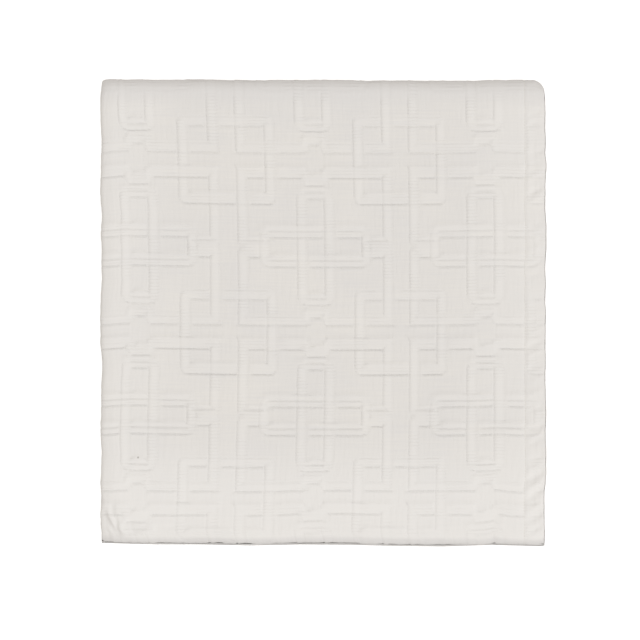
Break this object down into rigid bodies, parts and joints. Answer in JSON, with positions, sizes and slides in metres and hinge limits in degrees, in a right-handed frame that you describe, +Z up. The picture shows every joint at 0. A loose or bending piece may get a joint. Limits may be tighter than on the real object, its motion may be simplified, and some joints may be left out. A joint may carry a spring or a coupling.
{
  "type": "bed throw",
  "caption": "Folded woven bed throw: one hemmed cloth panel, folded in thirds and then twice along its length, with a raised lattice of interlaced straps.",
  "frame": {"origin": "on the surface that the throw rests on, under the middle of its box", "axes": "+X towards the long side hem, +Y towards the large roll, +Z up through the stacked layers"},
  "size_m": [0.5018, 0.5262, 0.0301],
  "materials": {
    "cloth": "matt off-white woven cloth"
  },
  "bodies": {
    "root": {"folded_throw": "cloth"}
  },
  "joints": []
}
